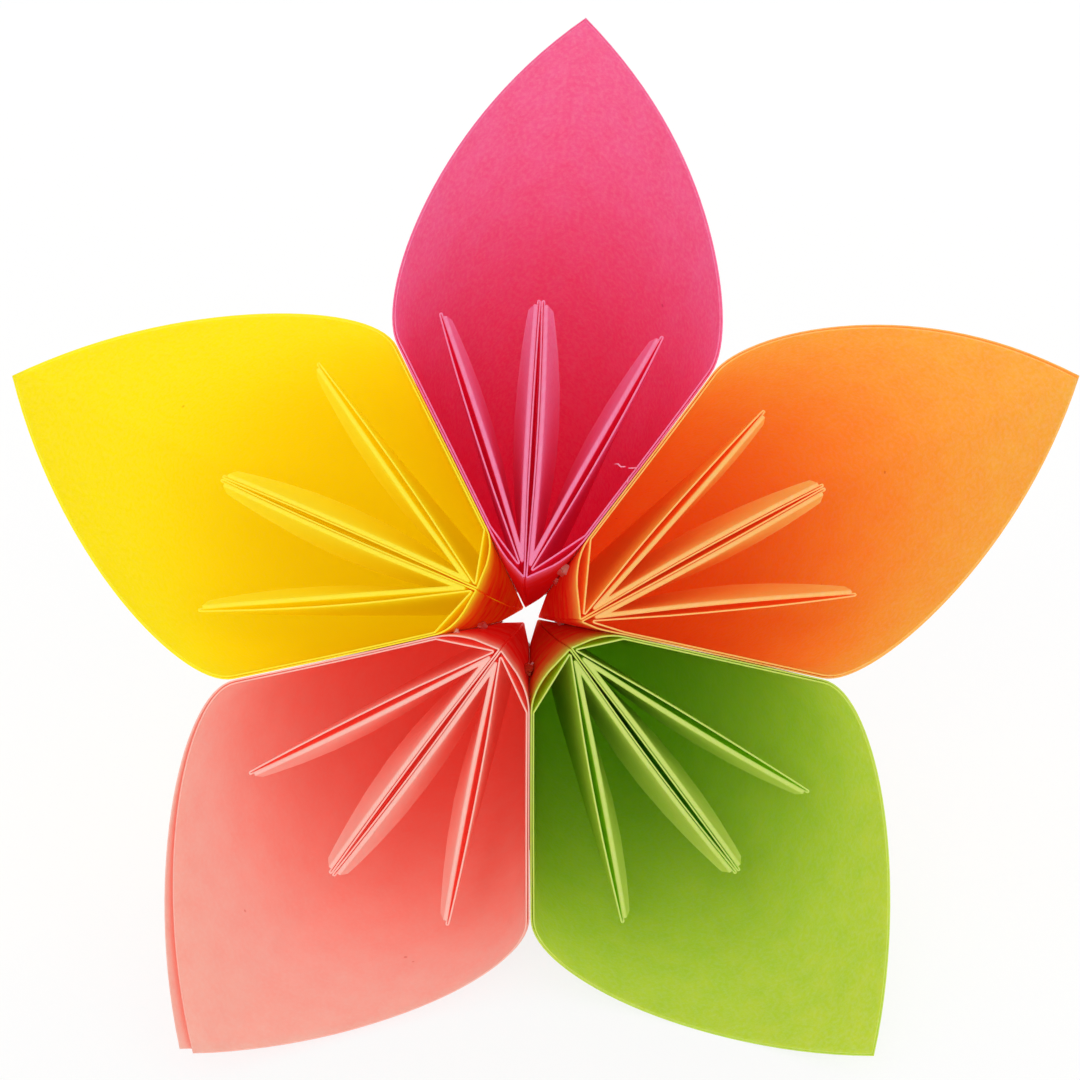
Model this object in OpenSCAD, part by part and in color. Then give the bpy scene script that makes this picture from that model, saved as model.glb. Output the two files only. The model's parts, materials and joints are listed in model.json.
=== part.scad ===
// Five-petal paper flower. Each petal is one square sheet, folded into a cone with three fins
// inside it, and the five petals are glued side by side round a common axis.
// The flower lies on two petal tips and its apex, and its open face looks forwards and up.

/* [Paper] */
// Side of the square sheet that one petal is folded from
sheet_side = 90; // [70:1:150]
// Thickness of the paper
paper_t = 0.1; // [0.06:0.01:0.14]
// Air between two plies that are pressed together
ply_gap = 0.04; // [0.03:0.01:0.08]
// Bend radius of the folds at the fins' outer edges
fin_fold_r = 0.08; // [0.07:0.01:0.2]

/* [Flower] */
// Degrees of the circle for each petal: pink, orange, green, salmon, yellow
petal_share = [63, 65, 78, 78, 76]; // [60:1:84]
// Direction of the joint before the pink petal, in degrees clockwise from straight up
first_joint = -26; // [-36:1:0]
// How far a petal's apex is pushed out from the flower's axis
apex_r = 0.6; // [0.5:0.1:2]
// How far a petal's apex is pushed to the right, against its neighbour's
apex_right = [-0.35, 0.35, -0.35, 0, 0.35]; // [-0.35:0.05:0.35]
// Thickness of the glue film between two petals at the rim
glue_t = 0.06; // [0.04:0.01:0.2]

/* [Petal walls, in per cent of the sheet's side] */
// Distance from the axis to the seam's top, for each petal
seam_out = [2.7, 3.4, 3.8, 3.4, 4.4]; // [2.4:0.1:5]
// How far the seam's top sits to the right of the petal's middle
seam_right = [-0.6, 1.7, -0.8, 0.1, 0]; // [-1:0.1:2]
// How far the inner ply's tip is shifted to the right of the outer ply's
inner_shift = [0, 0.2, 0, -0.9, 0]; // [-1:0.1:1]
// Distance from the axis to where a wall meets its neighbour
joint_start = 7.2; // [6.5:0.1:8.5]
// Distance from the axis to the shoulder, where the wall leaves its neighbour
joint_end = 22.8; // [20:0.1:23.8]
// Tightness of the shoulder's bend: a short reach is a tight bend
shoulder_reach = 4.5; // [3:0.5:6.5]
// Roundness of the back on either side of the tip
back_reach = 10; // [7:0.5:12]

/* [Petal walls, in degrees] */
// How far the tip leans to the right of the petal's middle
tip_lean = [0, -3, 1, 0, -1]; // [-4:1:4]
// How far the wall's start turns out from the straight line between seam and joint
throat_bulge = 16; // [8:1:22]
// Slope of the wall on either side of the tip, which makes the back a little keeled
keel_angle = 12; // [4:1:18]

/* [Fins] */
// Direction of the left, middle and right fin of each petal, in degrees from its middle
fin_angles = [
    [-23, -2, 24],
    [-28, -8, 15],
    [-20, 2, 28],
    [-28, -2, 25],
    [-30, -2, 29],
]; // [-30:1:30]
// How far a side fin's outer leaf bows away from its inner leaf
leaf_bow = 0.22; // [0:0.02:0.5]
// How far each half of the middle fin bows away from the other
half_bow = 0.14; // [0:0.02:0.3]
// Share of the space between two fins that a corner flap springs out
flap_spring = 0.85; // [0:0.05:0.9]

/* [Hidden] */

PINK = 0;
ORANGE = 1;
GREEN = 2;
SALMON = 3;
YELLOW = 4;
petals = [PINK, ORANGE, GREEN, SALMON, YELLOW];
petal_colour = ["#ec4a7c", "#f8a02e", "#a9cf3c", "#f49a8c", "#fde021"];
glue_colour = "#f3ead8";

// The crease pattern: the sheet's middle is the petal's apex, and every long crease runs out of it.
// Above the bundle the creases aim at one point of the flower's axis, so that the walls lie side by side.
half_side = sheet_side / 2;
wall_deg = 90;                    // the paper between a petal's two seam creases
fin_deg = 22.5;                   // the paper in one leaf of a fin
flap_low = 2 - sqrt(2);           // where a folded corner's point comes to, in half sides from the apex

// Lengths along the walls, and the pitch and bends that follow from the paper.
percent = sheet_side / 100;
joint_from = joint_start * percent;
joint_to = joint_end * percent;
ply_pitch = paper_t + ply_gap;
fold_r = ply_pitch / 2;
flap_fold_r = 0.8 * ply_pitch;

// The layers run at full thickness down to bundle_r, and thin out from there to the open apex.
bundle_r = 16;
apex_hole_r = 1.5;
bundle_spread = half_side / bundle_r;

// Points along each stretch of the section.
throat_n = 5;
throat_skip = 2;                  // throat points that the bend at the seam takes the place of
back_n = 8;
fold_n = 2;
fin_fold_n = 2;
flap_fold_n = 2;
leaf_at = [0.35, 0.75];

// Small helpers for points and directions in the section plane.
function heading(a) = [sin(a), cos(a)];
function right_of(d) = [d.y, -d.x];
function unit(v) = v / norm(v);
function flip(p) = [-p.x, p.y];
function reversed(list) = [for (i = [len(list) - 1 : -1 : 0]) list[i]];
function total(list, n) = n <= 0 ? 0 : list[n - 1] + total(list, n - 1);
function angle_between(a, b) = atan2(norm(cross(a, b)), a * b);
function bezier(p, t) =
    pow(1 - t, 3) * p[0] + 3 * pow(1 - t, 2) * t * p[1] + 3 * (1 - t) * t * t * p[2] + t * t * t * p[3];
function bezier_slope(p, t) =
    pow(1 - t, 2) * (p[1] - p[0]) + 2 * (1 - t) * t * (p[2] - p[1]) + t * t * (p[3] - p[2]);
function meet(p, d, q, e) = p + d * ((cross(q - p, e)) / cross(d, e));

// A round bend of radius r at v, between the legs that come from a and go on to b.
function bend(a, v, b, r, n) =
    let (
        back = unit(a - v),
        on = unit(b - v),
        middle = unit(back + on),
        half = angle_between([each back, 0], [each on, 0]) / 2,
        centre = v + middle * r / sin(half),
        side = sign(cross(back, on)),
        start = v + back * r / tan(half) - centre,
        turn = -side * (180 - 2 * half)
    )
    [for (i = [0 : n]) let (a = turn * i / n) centre + [
        start.x * cos(a) - start.y * sin(a),
        start.x * sin(a) + start.y * cos(a)
    ]];

// The section is drawn in the plane one half side above the apex, and ray() aims from the apex at it.
function ray(p) = unit([p.x, p.y, half_side]);

// Joints and middles of the petals, clockwise from straight up.
joint_scale = 360 / total(petal_share, len(petal_share));
function joint_at(i) = first_joint + joint_scale * total(petal_share, i);
function width_of(i) = joint_scale * petal_share[i];
function middle_of(i) = joint_at(i) + width_of(i) / 2;

// One half of a petal is drawn as a right half. side is 1 for the right half and -1 for the left,
// whose sideways values change sign on the way in and whose points are flipped on the way out.
function seam_point(i, side) = [side * seam_right[i], seam_out[i]] * percent;
function tip_point(i, side, out) = out * heading(side * tip_lean[i]);

// spread widens what doesn't shrink towards the apex, such as the paper and the glue. It is 1 at the rim
// and grows further down, where the rays run closer.
function joint_line(i, out, spread) =
    let (h = width_of(i) / 2)
    heading(h) * out - right_of(heading(h)) * spread * (paper_t + glue_t) / 2;

function throat(i, side, spread) =
    let (
        e = seam_point(i, side),
        c = joint_line(i, joint_from, spread),
        third = norm(c - e) / 3,
        start = atan2(c.x - e.x, c.y - e.y) + throat_bulge
    )
    [e, e + heading(start) * third, c - heading(width_of(i) / 2) * third, c];

function back_curve(i, side, out, spread) =
    let (
        tip = tip_point(i, side, out),
        shoulder = joint_line(i, joint_to, spread),
        leave = heading(width_of(i) / 2) * shoulder_reach * percent,
        arrive = right_of(heading(keel_angle)) * back_reach * percent
    )
    [shoulder, shoulder + leave, tip + arrive, tip];

// Middle line of the outer ply's half wall, from the seam to the tip.
function wall(i, side, out, spread = 1) =
    let (t = throat(i, side, spread), b = back_curve(i, side, out, spread))
    [
        for (k = [0 : throat_n]) bezier(t, k / throat_n),
        for (k = [0 : back_n]) bezier(b, k / back_n),
    ];

// Paper used along a line of section points, in degrees at the apex.
function paper_steps(line) = [for (k = [1 : len(line) - 1]) angle_between(ray(line[k - 1]), ray(line[k]))];
function paper_used(line) = let (s = paper_steps(line)) total(s, len(s));

// The tip leans out until the two half walls use up exactly the paper between the seam creases.
function solve_tip(i, low, high, n = 30) =
    let (mid = (low + high) / 2)
    n == 0 ? mid
    : paper_used(wall(i, 1, mid)) + paper_used(wall(i, -1, mid)) > wall_deg
        ? solve_tip(i, low, mid, n - 1)
        : solve_tip(i, mid, high, n - 1);
tip_range = joint_to * [1, 3];
tip_out = [for (i = petals) solve_tip(i, tip_range[0], tip_range[1])];

// The far end of a fin's leaf: the leaf's upper edge stands square to the seam.
function fin_end(e, a) =
    let (
        up = ray(e),
        level = [sin(a), cos(a), 0],
        along = unit(level - up * (level * up)),
        f = up + along * tan(fin_deg)
    )
    [f.x, f.y] * half_side / f.z;

// Where the line from a to b crosses the line from c to d.
function corner(a, b, c, d) = meet(a, b - a, c, d - c);

// A leaf's points between its ends, bowed to the right by bow in the middle.
function leaf(from, to, bow) =
    let (n = right_of(unit(to - from)))
    [for (x = leaf_at) from + (to - from) * x + n * bow * 4 * x * (1 - x)];

// The fold at a fin's outer edge, from its left side round to its right.
function fin_fold(centre, d, r) =
    [for (k = [0 : fin_fold_n])
        let (a = 180 * k / fin_fold_n)
        centre + r * (d * sin(a) - right_of(d) * cos(a))];

// A flap's half springs away from its leaf towards the other half, below its fold.
function sprung(line, other, spread) =
    [for (k = [0 : len(line) - 1])
        let (s = spread > 1 ? flap_spring * (1 - leaf_at[k] * leaf_at[k]) : 0)
        line[k] + (other[k] - line[k]) * s / 2];

// Rim radius of a ray that leans a degrees from the line square to the raw edge.
function rim_at(a) = half_side / cos(a);

// Columns of a half wall, from the seam to the tip, where the sheet's corner stands.
function wall_columns(line) =
    let (steps = paper_steps(line), n = len(steps))
    [for (k = [0 : n]) [line[k], rim_at(wall_deg / 2 - total(steps, n) + total(steps, k))]];

// A point of a curve, set in at right angles to it. A wall that leans out is cut at a slant here, so it
// takes more than g in this plane to keep its plies g apart.
function slant(p) = 1 + p * p / (half_side * half_side);
function set_in(curve, t, g) =
    let (p = bezier(curve, t)) p - right_of(unit(bezier_slope(curve, t))) * g * slant(p);

// Tip of the inner ply. A shifted ply ends short of the outer tip on the side that it is shifted to, and
// lies a little further in there.
shifted_tip_gap = 1.2;
function short_of_tip(i) = 1 - abs(inner_shift[i]) / (3 * back_reach);
function inner_tip(i, side, spread) =
    let (s = sign(inner_shift[i]), g = ply_pitch * spread)
    s == 0
        ? let (p = tip_point(i, side, tip_out[i])) p - [0, g * slant(p) / cos(keel_angle)]
        : let (p = set_in(back_curve(i, s, tip_out[i], spread), short_of_tip(i), shifted_tip_gap * g))
            s * side > 0 ? p : flip(p);

// Middle line of the inner ply's half wall, a pitch further in than the outer one, from the joint to the tip.
function inner_wall(i, side, spread) =
    let (
        g = ply_pitch * spread,
        b = back_curve(i, side, tip_out[i], spread),
        tip = inner_tip(i, side, spread),
        near = side * inner_shift[i] > 0,
        last = near ? short_of_tip(i) : 1,
        move = near ? [0, 0] : tip - set_in(b, 1, g)
    )
    [
        set_in(throat(i, side, spread), 1, g),
        for (k = [0 : back_n - 1]) let (t = k / back_n) set_in(b, t * last, g) + move * t * t,
        tip,
    ];

// One half of the folded section, as columns [point, rim radius, corner flap's point or undef].
function half_section(i, side, spread) =
    let (
        g = ply_pitch * spread,
        fr = fold_r * spread,
        ff = max(fin_fold_r, fr),
        lift = 2 * flap_fold_r * spread,
        // The seam's top, and the directions of the middle fin and the side fin.
        e = seam_point(i, side),
        up = ray(e),
        angles = side > 0 ? fin_angles[i] : -reversed(fin_angles[i]),
        mid_end = fin_end(e, angles[1]),
        side_end = fin_end(e, angles[2]),
        mid_dir = unit(mid_end - e),
        side_dir = unit(side_end - e),
        mid_n = right_of(mid_dir),
        side_n = right_of(side_dir),
        // Centres of the folds at the outer edges of the fins.
        mid_fold = mid_end + mid_n * (g / 2 + ff) - mid_dir * ff,
        side_fold = side_end - side_dir * ff,
        // Corners of the sharp folds, nested one behind the other at the seam.
        outer = wall(i, side, tip_out[i], spread),
        seam = e + mid_n * g / 2,
        kite = corner(
            e + mid_n * g * 1.5, mid_fold + mid_n * ff,
            e - side_n * g / 2, side_fold - side_n * ff
        ),
        flap = corner(
            e + mid_n * (g * 1.5 + lift), mid_fold + mid_n * (ff + lift),
            e - side_n * (g / 2 + lift), side_fold - side_n * (ff + lift)
        ),
        inner = inner_wall(i, side, spread),
        inner_start = e - right_of(unit(inner[0] - e)) * g,
        inner_seam = corner(e + side_n * g / 2, side_fold + side_n * ff, inner_start, inner[0]),
        // Leaves of the fins, from the seam outwards, and the corner flap's two halves in front of them.
        mid_leaf = leaf(seam, mid_fold - mid_n * ff, half_bow),
        kite_right = leaf(kite, mid_fold + mid_n * ff, half_bow),
        kite_left = leaf(kite, side_fold - side_n * ff, -leaf_bow / 2),
        inner_leaf = leaf(inner_seam, side_fold + side_n * ff, leaf_bow),
        flap_right = leaf(flap, mid_fold + mid_n * (ff + lift), half_bow),
        flap_left = leaf(flap, side_fold - side_n * (ff + lift), -leaf_bow / 2),
        flap_line = [
            each reversed(sprung(flap_right, flap_left, spread)),
            each bend(flap_right[0], flap, flap_left[0], fr, fold_n),
            each sprung(flap_left, flap_right, spread),
        ],
        kite_line = [
            each reversed(kite_right),
            each bend(kite_right[0], kite, kite_left[0], fr, fold_n),
            each kite_left,
        ],
        before_kite = [
            each bend(outer[throat_skip], seam, mid_leaf[0], fr, fold_n),
            each mid_leaf,
            each fin_fold(mid_fold, mid_dir, ff),
        ],
        after_kite = [
            each fin_fold(side_fold, side_dir, ff),
            each reversed(inner_leaf),
            each bend(inner_leaf[0], inner_seam, inner[0], fr, fold_n),
        ]
    )
    [
        each reversed([for (k = [throat_skip : len(outer) - 1]) wall_columns(outer)[k]]),
        for (p = before_kite) [p, rim_at(angle_between(up, ray(p)))],
        for (k = [0 : len(kite_line) - 1])
            let (p = kite_line[k])
            [p, rim_at(angle_between(up, ray(p))), flap_line[k], angle_between(up, ray(flap_line[k]))],
        for (p = after_kite) [p, rim_at(angle_between(up, ray(p)))],
        each wall_columns(inner),
    ];

// The whole section as a closed loop of columns: the right half from the tip and back to it, then the left.
function mirrored(c) = len(c) > 2 ? [flip(c[0]), c[1], flip(c[2]), c[3]] : [flip(c[0]), c[1]];
function section(i, spread) =
    let (right = half_section(i, 1, spread), left = half_section(i, -1, spread))
    [
        each right,
        for (k = [len(left) - 2 : -1 : 1]) mirrored(left[k]),
    ];

// Normals on the sheet's outer face for a closed loop of rays and for an open line of them. They are
// lengthened at the bends, so that the sheet keeps its thickness there.
function loop_normals(rays) =
    let (
        n = len(rays),
        flat = [for (k = [0 : n - 1]) unit(cross(rays[k], rays[(k + 1) % n]))]
    )
    [for (k = [0 : n - 1]) let (a = flat[(k + n - 1) % n], b = flat[k]) (a + b) / (1 + a * b)];
function line_normals(rays) =
    let (n = len(rays), flat = [for (k = [0 : n - 2]) unit(cross(rays[k], rays[k + 1]))])
    [for (k = [0 : n - 1]) let (a = flat[max(k - 1, 0)], b = flat[min(k, n - 2)]) (a + b) / (1 + a * b)];

// Rows of the sheet: the apex hole, the bundle, the rim, then the flap's fold and its raw edge.
half_n = len(half_section(PINK, 1, 1));
loop_n = 2 * half_n - 2;
rows_n = 3;
flap_rows_n = flap_fold_n + 1;
flap_from = search(4, [for (c = half_section(PINK, 1, 1)) [len(c)]])[0];
flap_to = flap_from + 2 * len(leaf_at) + fold_n;
flap_n = flap_to - flap_from + 1;
flap_spans = [[flap_from, flap_to], [loop_n - flap_to, loop_n - flap_from]];

// Middle points and outer normals of one petal's sheet, [point, normal times half thickness].
function petal_rows(i) =
    let (
        top = section(i, 1),
        low = section(i, bundle_spread),
        top_rays = [for (c = top) ray(c[0])],
        low_rays = [for (c = low) ray(c[0])],
        top_n = loop_normals(top_rays),
        low_n = loop_normals(low_rays),
        half_t = paper_t / 2
    )
    [for (k = [0 : loop_n - 1]) [
        [low_rays[k] * apex_hole_r, low_n[k] * half_t * apex_hole_r / bundle_r],
        [low_rays[k] * bundle_r, low_n[k] * half_t],
        [top_rays[k] * top[k][1], top_n[k] * half_t],
    ]];

function flap_rows(i, span) =
    let (
        top = section(i, 1),
        low = section(i, 1 / flap_low),
        ks = [for (k = [span[0] : span[1]]) k],
        rim = [for (k = ks) ray(top[k][0]) * top[k][1]],
        top_rays = [for (k = ks) ray(top[k][2])],
        low_rays = [for (k = ks) ray(low[k][2])],
        top_n = line_normals(top_rays),
        low_n = line_normals(low_rays),
        half_t = paper_t / 2
    )
    [for (m = [0 : len(ks) - 1])
        let (
            k = ks[m],
            a = low[k][3],
            upper = top_rays[m] * rim_at(top[k][3]),
            lower = low_rays[m] * half_side * flap_low / (cos(a) - sin(a)),
            centre = (rim[m] + upper) / 2,
            arm = (rim[m] - upper) / 2
        )
        [
            for (s = [1 : flap_fold_n - 1]) let (q = 180 * s / flap_fold_n) [
                centre + arm * cos(q) + top_rays[m] * flap_fold_r * sin(q),
                -unit(unit(arm) * cos(q) + top_rays[m] * sin(q)) * half_t
            ],
            [upper, -top_n[m] * half_t],
            [lower, -low_n[m] * half_t],
        ]];

// Points of a petal's solid in its own frame: outer face, inner face, then the flaps' two faces.
function petal_points(i) =
    let (main = petal_rows(i), flaps = [for (s = flap_spans) flap_rows(i, s)])
    [
        for (f = [1, -1], c = main, r = c) r[0] + f * r[1],
        for (f = [1, -1], w = flaps, c = w, r = c) r[0] + f * r[1],
    ];

// Index of a point: face 0 or 1, column, row.
function flap_of(k) = k <= flap_to ? 0 : 1;
function at(f, k, r) =
    r < rows_n
        ? (f * loop_n + k % loop_n) * rows_n + r
        : 2 * loop_n * rows_n
            + ((f * 2 + flap_of(k)) * flap_n + k - flap_spans[flap_of(k)][0]) * flap_rows_n + r - rows_n;
function quad(a, b, c, d) = [[a, b, c], [a, c, d]];

// The raw edge goes along the rim, and round each flap.
last_row = rows_n + flap_rows_n - 1;
function starts_flap(k) = k == flap_spans[0][0] || k == flap_spans[1][0];
function ends_flap(k) = k == flap_spans[0][1] || k == flap_spans[1][1];
function in_flap(k) = max([for (s = flap_spans) k > s[0] && k < s[1] ? 1 : 0]) > 0;
raw_edge = [for (k = [0 : loop_n - 1]) each
    starts_flap(k) ? [for (r = [rows_n - 1 : last_row]) [k, r]]
    : ends_flap(k) ? [for (r = [last_row : -1 : rows_n - 1]) [k, r]]
    : in_flap(k) ? [[k, last_row]]
    : [[k, rows_n - 1]]];

petal_faces = [
    for (k = [0 : loop_n - 1], r = [0 : rows_n - 2])
        each quad(at(0, k, r), at(0, k + 1, r), at(0, k + 1, r + 1), at(0, k, r + 1)),
    for (k = [0 : loop_n - 1], r = [0 : rows_n - 2])
        each quad(at(1, k + 1, r + 1), at(1, k + 1, r), at(1, k, r), at(1, k, r + 1)),
    for (s = flap_spans, k = [s[0] : s[1] - 1], r = [rows_n - 1 : last_row - 1])
        each quad(at(0, k, r), at(0, k + 1, r), at(0, k + 1, r + 1), at(0, k, r + 1)),
    for (s = flap_spans, k = [s[0] : s[1] - 1], r = [rows_n - 1 : last_row - 1])
        each quad(at(1, k + 1, r + 1), at(1, k + 1, r), at(1, k, r), at(1, k, r + 1)),
    for (k = [0 : loop_n - 1])
        each quad(at(0, k + 1, 0), at(0, k, 0), at(1, k, 0), at(1, k + 1, 0)),
    for (m = [0 : len(raw_edge) - 1])
        let (a = raw_edge[m], b = raw_edge[(m + 1) % len(raw_edge)])
        each quad(at(0, a[0], a[1]), at(0, b[0], b[1]), at(1, b[0], b[1]), at(1, a[0], a[1])),
];

// A petal's place round the flower's axis, which is upright here. Below the bundle it leans to where its
// apex is pushed.
function placed(i, p) =
    let (
        a = middle_of(i),
        below = max(0, 1 - norm(p) / bundle_r),
        out = p.y + apex_r * below,
        right = p.x + apex_right[i] * below
    )
    [right * cos(a) + out * sin(a), out * cos(a) - right * sin(a), p.z];
upright = [for (i = petals) [for (p = petal_points(i)) placed(i, p)]];

// The flower tips over until two petal tips and the apex lie on the same surface.
rest_range = [5, 70];
function lowest(points, b) = min([for (p = points) p.y * cos(b) + p.z * sin(b)]);
apex_points = [for (w = upright, p = w) if (p.z < 2 * bundle_r) p];
rim_points = [for (w = upright, p = w) if (p.z >= 2 * bundle_r) p];
function solve_rest(low, high, n = 24) =
    let (mid = (low + high) / 2)
    n == 0 ? mid
    : lowest(rim_points, mid) < lowest(apex_points, mid)
        ? solve_rest(mid, high, n - 1)
        : solve_rest(low, mid, n - 1);
face_up = solve_rest(rest_range[0], rest_range[1]);
function tipped(p) =
    [p.x, p.y * sin(face_up) - p.z * cos(face_up), p.y * cos(face_up) + p.z * sin(face_up)];
tipped_all = [for (w = upright, p = w) tipped(p)];
function middle_in(k) = let (v = [for (p = tipped_all) p[k]]) (min(v) + max(v)) / 2;
shift = -[middle_in(0), middle_in(1), min([for (p = tipped_all) p.z])];
function lying(p) = tipped(p) + shift;

// Glue films lie between the flat walls of two neighbours, from just inside the rim part of the way down.
// A film leaves a hair of air at either wall, as a share of the space between them.
film_along = [0.04, 0.7];
film_up = [0.5, 0.96];
film_air = 0.06;
start_col = back_n + 1;
end_col = back_n;
function wall_spot(i, side, along, up) =
    let (
        k0 = side > 0 ? start_col : loop_n - start_col,
        k1 = side > 0 ? end_col : loop_n - end_col,
        p = upright[i],
        a = p[at(0, k0, 1)] * (1 - up) + p[at(0, k0, 2)] * up,
        b = p[at(0, k1, 1)] * (1 - up) + p[at(0, k1, 2)] * up
    )
    a * (1 - along) + b * along;
function film_points(i) =
    let (walls = [[i, 1], [(i + 1) % len(petals), -1]])
    [for (w = [0, 1], c = [[0, 0], [1, 0], [1, 1], [0, 1]])
        let (
            spots = [for (s = walls) wall_spot(s[0], s[1], film_along[c[0]], film_up[c[1]])]
        )
        lying(spots[w] * (1 - film_air) + spots[1 - w] * film_air)];
film_faces = [[0, 1, 2], [0, 2, 3], [6, 5, 4], [7, 6, 4], each quad(1, 0, 4, 5), each quad(2, 1, 5, 6),
    each quad(3, 2, 6, 7), each quad(0, 3, 7, 4)];

module petal(i) {
    color(petal_colour[i])
        polyhedron(points = [for (p = upright[i]) lying(p)], faces = petal_faces);
}

module glue_films() {
    color(glue_colour)
        for (i = petals) polyhedron(points = film_points(i), faces = film_faces);
}

petal(PINK);  // petal_pink
petal(ORANGE);  // petal_orange
petal(GREEN);  // petal_green
petal(SALMON);  // petal_salmon
petal(YELLOW);  // petal_yellow
glue_films();
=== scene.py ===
"""Looks of a five-petal folded paper flower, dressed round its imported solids."""

from __future__ import annotations

import json
import logging
import math
from dataclasses import dataclass, field
from enum import Enum

import bmesh
import bpy
from mathutils import Matrix, Vector, noise

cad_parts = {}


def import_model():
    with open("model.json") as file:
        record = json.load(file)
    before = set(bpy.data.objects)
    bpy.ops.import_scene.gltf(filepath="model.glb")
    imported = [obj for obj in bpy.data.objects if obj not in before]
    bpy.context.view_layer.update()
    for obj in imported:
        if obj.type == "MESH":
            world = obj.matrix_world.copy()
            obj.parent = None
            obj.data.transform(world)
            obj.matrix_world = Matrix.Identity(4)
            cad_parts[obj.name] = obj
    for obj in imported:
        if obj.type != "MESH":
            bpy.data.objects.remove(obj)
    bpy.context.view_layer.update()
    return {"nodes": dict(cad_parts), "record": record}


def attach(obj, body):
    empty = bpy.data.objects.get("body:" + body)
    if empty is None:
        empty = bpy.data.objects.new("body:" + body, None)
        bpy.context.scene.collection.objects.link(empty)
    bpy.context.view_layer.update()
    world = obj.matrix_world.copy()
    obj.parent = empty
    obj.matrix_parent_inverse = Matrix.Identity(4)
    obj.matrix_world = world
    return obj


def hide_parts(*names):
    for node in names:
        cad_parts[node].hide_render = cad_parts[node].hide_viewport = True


LOG = logging.getLogger("paper_flower")
MM = 0.001
PHOTO_PX = 1080
NOISE_SEED = 5
Range = tuple[float, float]
Line = list[Vector]
Socket = bpy.types.NodeSocket


def heading(angle: float) -> Vector:
    """Returns the flat direction at an angle in degrees, clockwise from straight out."""
    return Vector((math.sin(math.radians(angle)), math.cos(math.radians(angle))))


def right_of(direction: Vector) -> Vector:
    """Returns the flat direction a quarter turn clockwise."""
    return Vector((direction.y, -direction.x))


def flipped(point: Vector) -> Vector:
    """Returns the point mirrored across the petal's middle."""
    return Vector((-point.x, point.y))


def bezier(curve: Line, t: float) -> Vector:
    """Returns the point at t on a cubic curve of four control points."""
    s = 1 - t
    return s**3 * curve[0] + 3 * s * s * t * curve[1] + 3 * s * t * t * curve[2] + t**3 * curve[3]


def bezier_slope(curve: Line, t: float) -> Vector:
    """Returns the direction of travel at t on a cubic curve."""
    s = 1 - t
    first, second, third = (b - a for a, b in zip(curve, curve[1:]))
    return s * s * first + 2 * s * t * second + t * t * third


def crossing(a: Vector, b: Vector, c: Vector, d: Vector) -> Vector:
    """Returns where the line from a to b crosses the line from c to d."""
    along, other = b - a, d - c
    return a + along * ((c - a).cross(other) / along.cross(other))


def round_bend(a: Vector, v: Vector, b: Vector, radius: float, steps: int) -> Line:
    """Rounds the corner at v of the path from a to b.

    Args:
        a: A point on the way in.
        v: The corner.
        b: A point on the way out.
        radius: Radius of the bend.
        steps: Number of straight steps in the bend.

    Returns:
        The points of the bend, in order.
    """
    back, on = (a - v).normalized(), (b - v).normalized()
    half = back.angle(on) / 2
    centre = v + (back + on).normalized() * radius / math.sin(half)
    start = v + back * radius / math.tan(half) - centre
    turn = -math.copysign(math.pi - 2 * half, back.cross(on))
    return [centre + Matrix.Rotation(turn * k / steps, 2) @ start for k in range(steps + 1)]


class Stretch(Enum):
    """What part of the folded sheet a column of the section belongs to."""

    WALL = "wall"
    THROAT = "throat"
    SEAM = "seam"
    LEAF = "leaf"
    FIN_EDGE = "fin edge"
    KITE = "kite"
    KITE_FOLD = "kite fold"


@dataclass(frozen=True)
class Paper:
    """The square sheets that the petals are folded from, in millimetres and degrees."""

    side: float = 90.0
    thickness: float = 0.1
    ply_gap: float = 0.04
    fin_fold_r: float = 0.08
    bundle_r: float = 16.0
    apex_hole_r: float = 1.5
    wall_deg: float = 90.0
    fin_deg: float = 22.5
    flap_low: float = 2 - math.sqrt(2)
    flap_fold: float = 0.8

    @property
    def half(self) -> float:
        """Half of the sheet's side."""
        return self.side / 2

    @property
    def pitch(self) -> float:
        """Distance between the middles of two plies."""
        return self.thickness + self.ply_gap

    @property
    def bundle_spread(self) -> float:
        """How much the plies' pitch is widened at the bundle, where the rays run closer."""
        return self.half / self.bundle_r

    @property
    def flap_fold_r(self) -> float:
        """Bend radius of a corner flap's fold."""
        return self.flap_fold * self.pitch

    def ray(self, point: Vector) -> Vector:
        """Returns the direction from the apex to a point of the section plane."""
        return Vector((point.x, point.y, self.half)).normalized()

    def rim_at(self, lean: float) -> float:
        """Returns how far the raw edge lies out along a ray that leans so many radians."""
        return self.half / math.cos(lean)


@dataclass(frozen=True)
class Crown:
    """How the petals stand round the flower's axis, in degrees and per cent of the sheet's side."""

    shares: tuple[float, ...] = (63, 65, 78, 78, 76)
    first_joint: float = -26
    apex_r: float = 0.6
    glue_t: float = 0.06
    joint_start: float = 7.2
    joint_end: float = 22.8
    shoulder_reach: float = 4.5
    back_reach: float = 10.0
    throat_bulge: float = 16.0
    keel_angle: float = 12.0
    shifted_tip_gap: float = 1.2
    leaf_bow: float = 0.22
    half_bow: float = 0.14
    flap_spring: float = 0.85

    def width_of(self, index: int) -> float:
        """Returns the degrees of the circle that a petal takes up."""
        return 360 * self.shares[index] / sum(self.shares)

    def joint_after(self, index: int) -> float:
        """Returns the direction of the joint after a petal, clockwise from straight up."""
        return self.middle_of(index) + self.width_of(index) / 2

    def middle_of(self, index: int) -> float:
        """Returns the direction of a petal's middle, clockwise from straight up."""
        before = 360 * sum(self.shares[:index]) / sum(self.shares)
        return self.first_joint + before + self.width_of(index) / 2


@dataclass(frozen=True)
class PetalForm:
    """What differs from petal to petal."""

    name: str
    index: int
    seam_out: float
    seam_right: float
    fin_angles: tuple[float, float, float]
    apex_right: float = 0.0
    tip_lean: float = 0.0
    inner_shift: float = 0.0


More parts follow.
